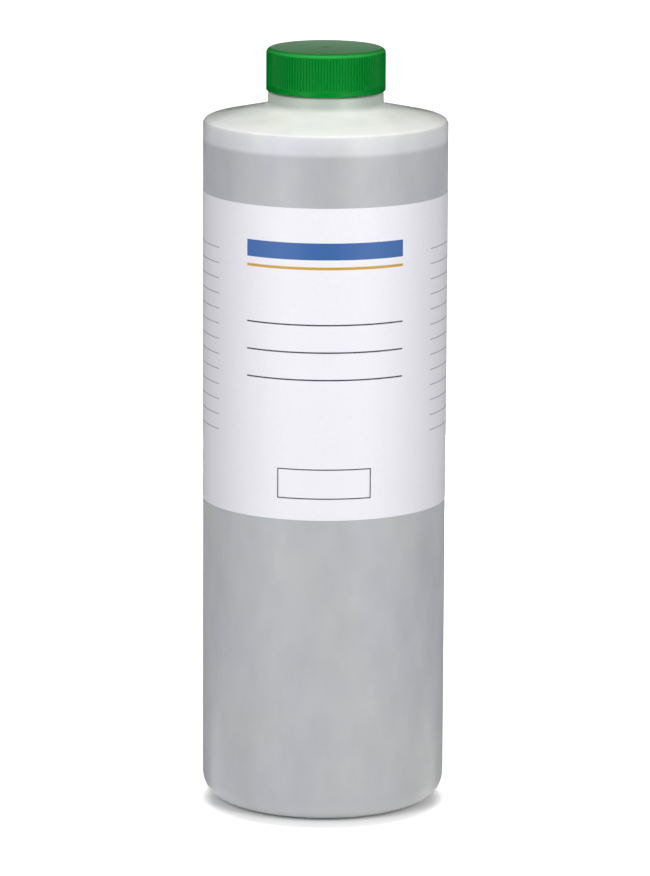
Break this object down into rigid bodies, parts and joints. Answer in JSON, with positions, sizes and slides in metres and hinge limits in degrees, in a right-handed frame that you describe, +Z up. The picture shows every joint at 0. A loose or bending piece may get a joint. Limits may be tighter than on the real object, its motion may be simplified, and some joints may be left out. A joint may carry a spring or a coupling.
{
  "type": "solution bottle",
  "caption": "Round translucent plastic solution bottle with a sloped shoulder, a paper wrap label and a ribbed screw cap that turns and lifts off the lined neck to pour",
  "frame": {"origin": "on the bottle's axis, at the level of the standing ring", "axes": "+Z up along the bottle's axis, and the middle of the label faces -Y"},
  "size_m": [0.0802, 0.0801, 0.251],
  "materials": {
    "natural_hdpe": "satin",
    "green_polypropylene": "satin",
    "liner_foam": "matte",
    "liner_film": "gloss",
    "label_paper": "satin",
    "clear_solution": "gloss"
  },
  "bodies": {
    "bottle": {"bottle_body": "natural_hdpe", "wrap_label": "label_paper", "solution": "clear_solution"},
    "cap_liner": {"liner_facing": "liner_film", "liner_backing": "liner_foam"},
    "cap": {"screw_cap": "green_polypropylene"}
  },
  "joints": [
    {"name": "cap_lift", "type": "slide", "parent": "bottle", "child": "cap_liner", "axis": [0, 0, 1], "range_m": [0, 0.01271]},
    {"name": "cap_turn", "type": "hinge", "parent": "cap_liner", "child": "cap", "pos_m": [0, 0, 0.244], "axis": [0, 0, 1], "range_deg": [0, 1080]}
  ],
  "couplings": [
    {"joint": "cap_lift", "follows": "cap_turn", "m_per_rad": 0.00067376}
  ]
}
